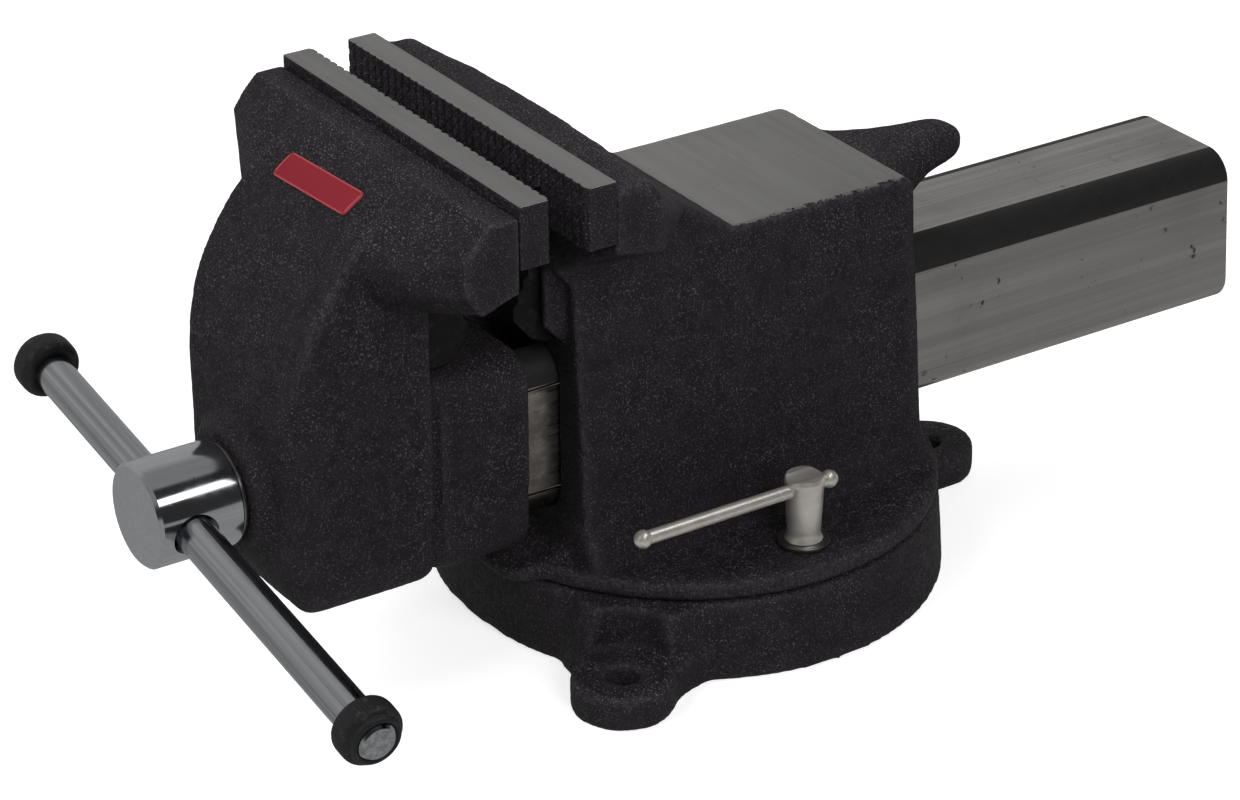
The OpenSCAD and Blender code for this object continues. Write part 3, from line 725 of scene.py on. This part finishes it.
# ------------------------------------------------------------------ studio
def studio():
    world = bpy.data.worlds.new("studio")
    scene.world = world
    world.use_nodes = True
    nt = world.node_tree
    nt.nodes.clear()
    out = nt.nodes.new("ShaderNodeOutputWorld")
    seen = nt.nodes.new("ShaderNodeBackground")
    seen.inputs[0].default_value = (1, 1, 1, 1)
    lit = nt.nodes.new("ShaderNodeBackground")
    path = nt.nodes.new("ShaderNodeLightPath")
    mix = nt.nodes.new("ShaderNodeMixShader")
    nt.links.new(path.outputs["Is Camera Ray"], mix.inputs[0])
    nt.links.new(lit.outputs[0], mix.inputs[1])
    nt.links.new(seen.outputs[0], mix.inputs[2])
    nt.links.new(mix.outputs[0], out.inputs[0])
    tc = nt.nodes.new("ShaderNodeTexCoord")
    sep = nt.nodes.new("ShaderNodeSeparateXYZ")
    nt.links.new(tc.outputs["Generated"], sep.inputs[0])

    def mrange(v, a, b, c, d):
        n = nt.nodes.new("ShaderNodeMapRange")
        n.interpolation_type = "SMOOTHSTEP"
        nt.links.new(v, n.inputs[0])
        for k, q in zip((1, 2, 3, 4), (a, b, c, d)):
            n.inputs[k].default_value = q
        return n.outputs[0]

    def op(kind, a, b):
        n = nt.nodes.new("ShaderNodeMath")
        n.operation = kind
        for k, q in ((0, a), (1, b)):
            if isinstance(q, bpy.types.NodeSocket):
                nt.links.new(q, n.inputs[k])
            else:
                n.inputs[k].default_value = q
        return n.outputs[0]
    x, y, z = sep.outputs
    below = mrange(z, -0.08, 0.04, 1.0, 0.0)
    # bright sweep on the left and behind, dark room on the right
    sweep = op("ADD", op("MULTIPLY", mrange(x, -0.66, -0.36, 0.33, 0.20), mrange(x, 0.20, 0.34, 1.0, 0.0)), 0.03)
    sky = op("ADD", op("MULTIPLY", below, 0.29), op("MULTIPLY", op("SUBTRACT", 1.0, below), sweep))
    nt.links.new(sky, lit.inputs[1])
    lit.inputs[0].default_value = (1.0, 0.995, 0.99, 1)

    def area(name, loc, target, size, power):
        d = bpy.data.lights.new(name, "AREA")
        d.shape = "RECTANGLE"
        d.size, d.size_y = size
        d.energy = power
        o = bpy.data.objects.new(name, d)
        o.location = loc
        o.rotation_euler = (Vector(target) - Vector(loc)).to_track_quat("-Z", "Y").to_euler()
        o.visible_camera = o.visible_glossy = False
        scene.collection.objects.link(o)
        return o
    area("key", (-0.3, -1.7, 1.9), (0, 0, 0.1), (1.6, 1.6), 44)
    area("side", (2.0, -0.2, 1.3), (0, 0, 0.1), (1.4, 1.4), 38)
    area("back", (-1.0, 1.6, 1.6), (0, 0, 0.1), (1.4, 1.0), 22)

    def card(name, centre, target, size, strength):
        """Reflector that only polished surfaces see."""
        mesh = bpy.data.meshes.new(name)
        w, h = size
        mesh.from_pydata([(-w / 2, -h / 2, 0), (w / 2, -h / 2, 0), (w / 2, h / 2, 0), (-w / 2, h / 2, 0)], [], [(0, 1, 2, 3)])
        m = bpy.data.materials.new(name)
        m.use_nodes = True
        m.node_tree.nodes.clear()
        o = m.node_tree.nodes.new("ShaderNodeOutputMaterial")
        e = m.node_tree.nodes.new("ShaderNodeEmission")
        e.inputs[1].default_value = strength
        m.node_tree.links.new(e.outputs[0], o.inputs[0])
        mesh.materials.append(m)
        ob = bpy.data.objects.new(name, mesh)
        ob.location = centre
        ob.rotation_euler = (Vector(target) - Vector(centre)).to_track_quat("Z", "Y").to_euler()
        ob.visible_camera = ob.visible_diffuse = ob.visible_shadow = False
        scene.collection.objects.link(ob)
    head = Vector((0.0, -0.264, 0.1034))
    ray = Vector((0.579, 0.487, 0.655)).normalized()
    card("head_card", head + ray * 0.55, head, (0.5, 0.115), 2.4)
    # dark flag over the bar: its rounded corner turns into a black band
    card("bar_flag", Vector((0.40, 0.70, 0.55)), Vector((0.40, 0.70, 0.0)), (1.6, 0.8), 0.0)

    size = 7.0
    mesh = bpy.data.meshes.new("floor")
    mesh.from_pydata([(-size, -size, 0), (size, -size, 0), (size, size, 0), (-size, size, 0)], [], [(0, 1, 2, 3)])
    m = bpy.data.materials.new("floor_white")
    m.use_nodes = True
    ft = m.node_tree
    ft.nodes.clear()
    fo = ft.nodes.new("ShaderNodeOutputMaterial")
    diff = ft.nodes.new("ShaderNodeBsdfDiffuse")
    diff.inputs[0].default_value = (0.60, 0.60, 0.60, 1)
    glow = ft.nodes.new("ShaderNodeEmission")
    glow.inputs[0].default_value = (1, 1, 1, 1)
    glow.inputs[1].default_value = 0.68
    add = ft.nodes.new("ShaderNodeAddShader")
    only = ft.nodes.new("ShaderNodeMixShader")
    lp = ft.nodes.new("ShaderNodeLightPath")
    ft.links.new(diff.outputs[0], add.inputs[0])
    ft.links.new(glow.outputs[0], add.inputs[1])
    ft.links.new(lp.outputs["Is Camera Ray"], only.inputs[0])
    ft.links.new(diff.outputs[0], only.inputs[1])
    ft.links.new(add.outputs[0], only.inputs[2])
    ft.links.new(only.outputs[0], fo.inputs[0])
    mesh.materials.append(m)
    floor = bpy.data.objects.new("floor", mesh)
    floor.location = (0, 0, -0.0002)
    floor.visible_glossy = False
    scene.collection.objects.link(floor)


studio()
